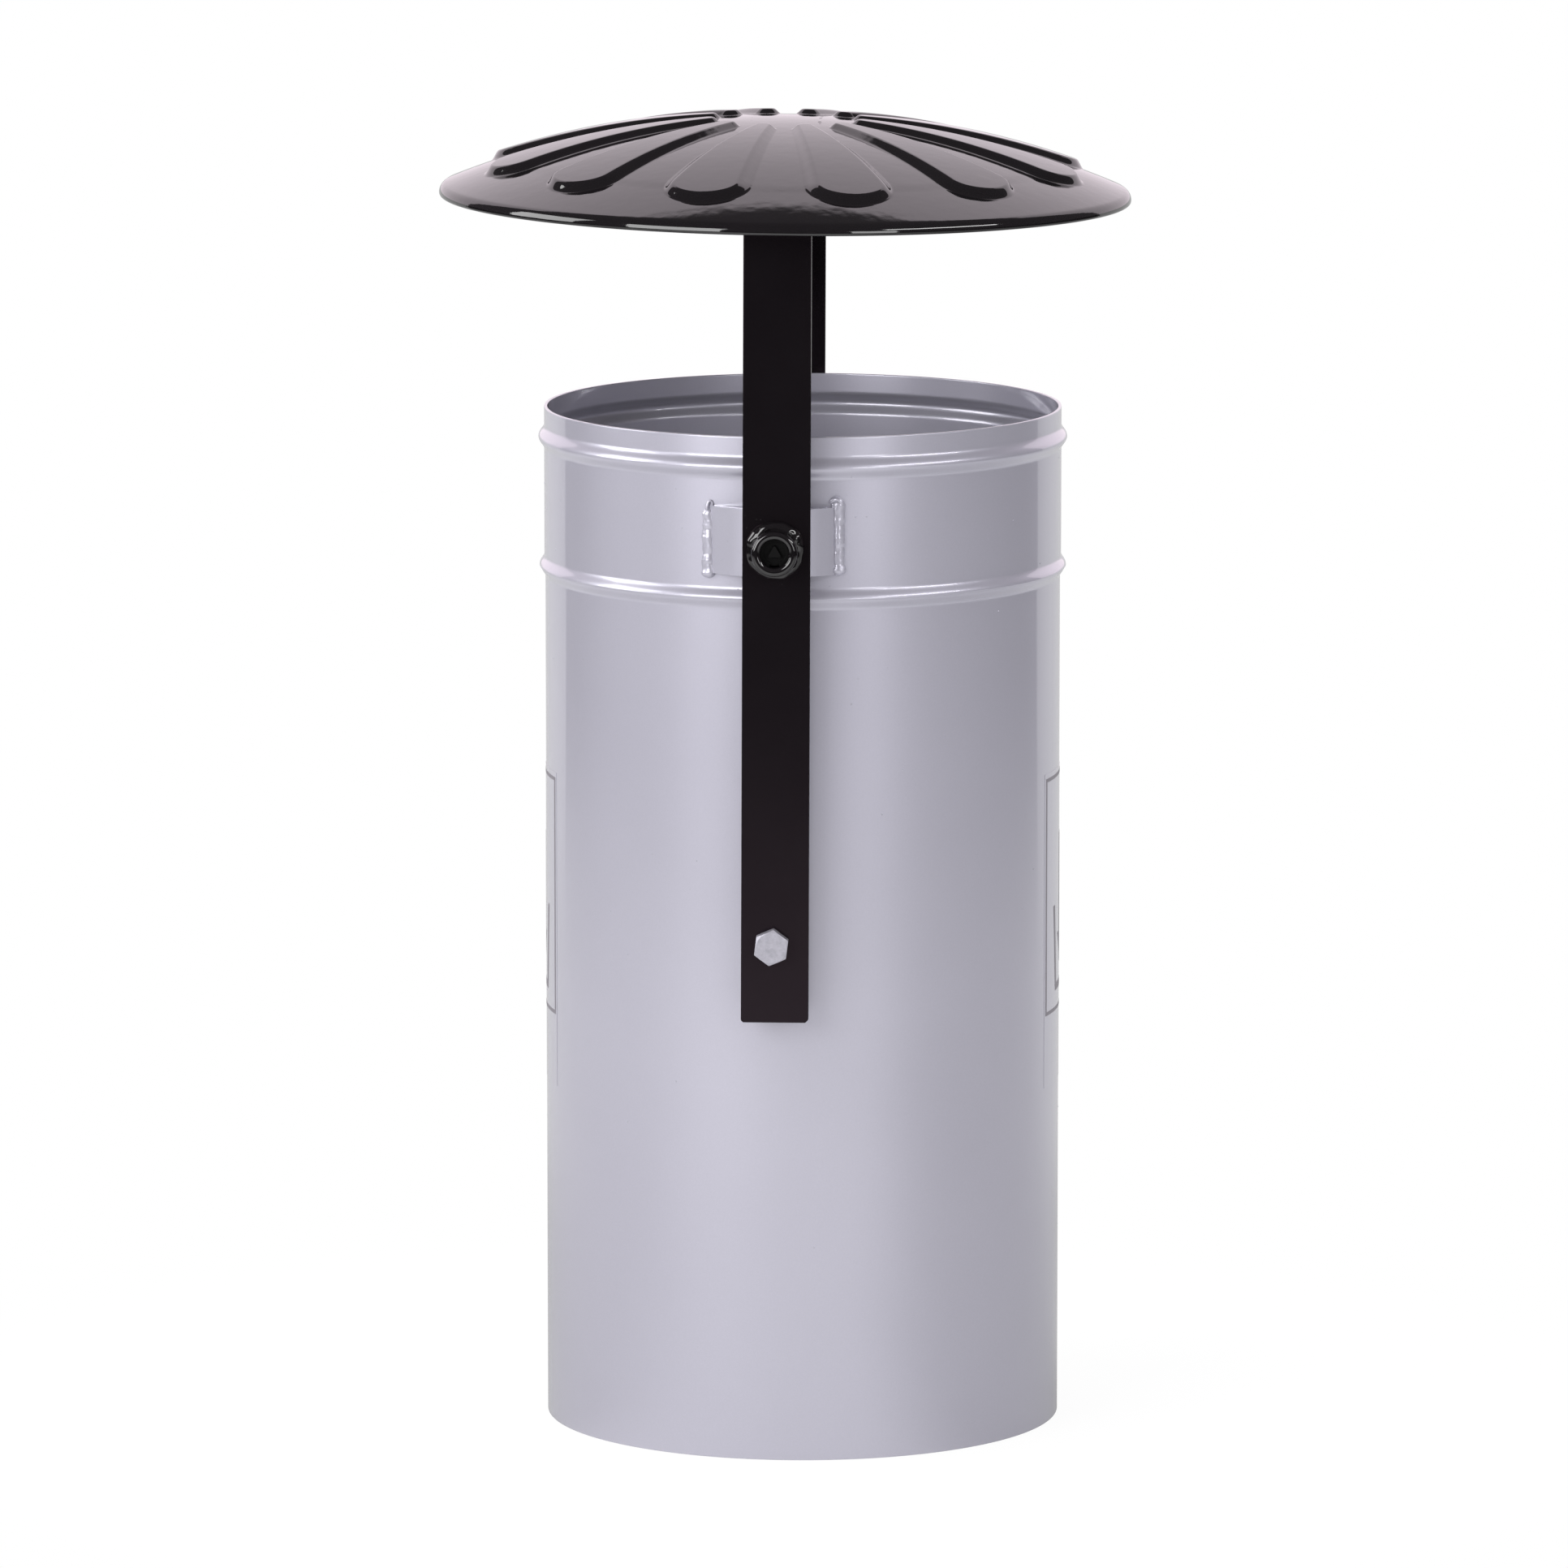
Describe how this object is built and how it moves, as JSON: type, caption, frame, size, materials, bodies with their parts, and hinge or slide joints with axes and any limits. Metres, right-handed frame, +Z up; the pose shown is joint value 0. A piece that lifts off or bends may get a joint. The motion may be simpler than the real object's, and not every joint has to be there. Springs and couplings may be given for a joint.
{
  "type": "street litter bin",
  "caption": "Beaded round sheet steel litter bin in a flat bar hoop with a pressed round rain canopy and a key lock.",
  "frame": {"origin": "on the floor under the middle of the canopy and the hoop", "axes": "+Z up, -Y towards the side with the key lock, +X to the right of someone facing the lock"},
  "size_m": [0.415, 0.415, 0.7887],
  "materials": {
    "silver_paint": "satin",
    "black_paint": "gloss",
    "zinc": "satin",
    "dark_steel": "matte"
  },
  "bodies": {
    "bin": {"bin_shell": "silver_paint", "shell_seam": "silver_paint", "base_plate": "silver_paint", "base_welds": "silver_paint", "lock_bracket": "silver_paint", "bracket_welds": "silver_paint", "pivot_bosses": "silver_paint", "boss_welds": "silver_paint", "pivot_bushes": "zinc", "pivot_bolts": "zinc"},
    "hoop": {"hoop_bar": "black_paint", "canopy": "black_paint", "canopy_welds": "black_paint", "lock_sleeve": "black_paint", "sleeve_weld": "black_paint", "sleeve_ring": "dark_steel"},
    "key_screw": {"key_screw": "dark_steel"}
  },
  "joints": [
    {"name": "hoop_swing", "type": "hinge", "parent": "bin", "child": "hoop", "pos_m": [-0.002, 0, 0.315], "axis": [0, 1, 0], "range_deg": [-95, 95]},
    {"name": "key_screw_travel", "type": "slide", "parent": "hoop", "child": "key_screw", "axis": [0, 1, 0], "range_m": [0, 0.005]}
  ]
}
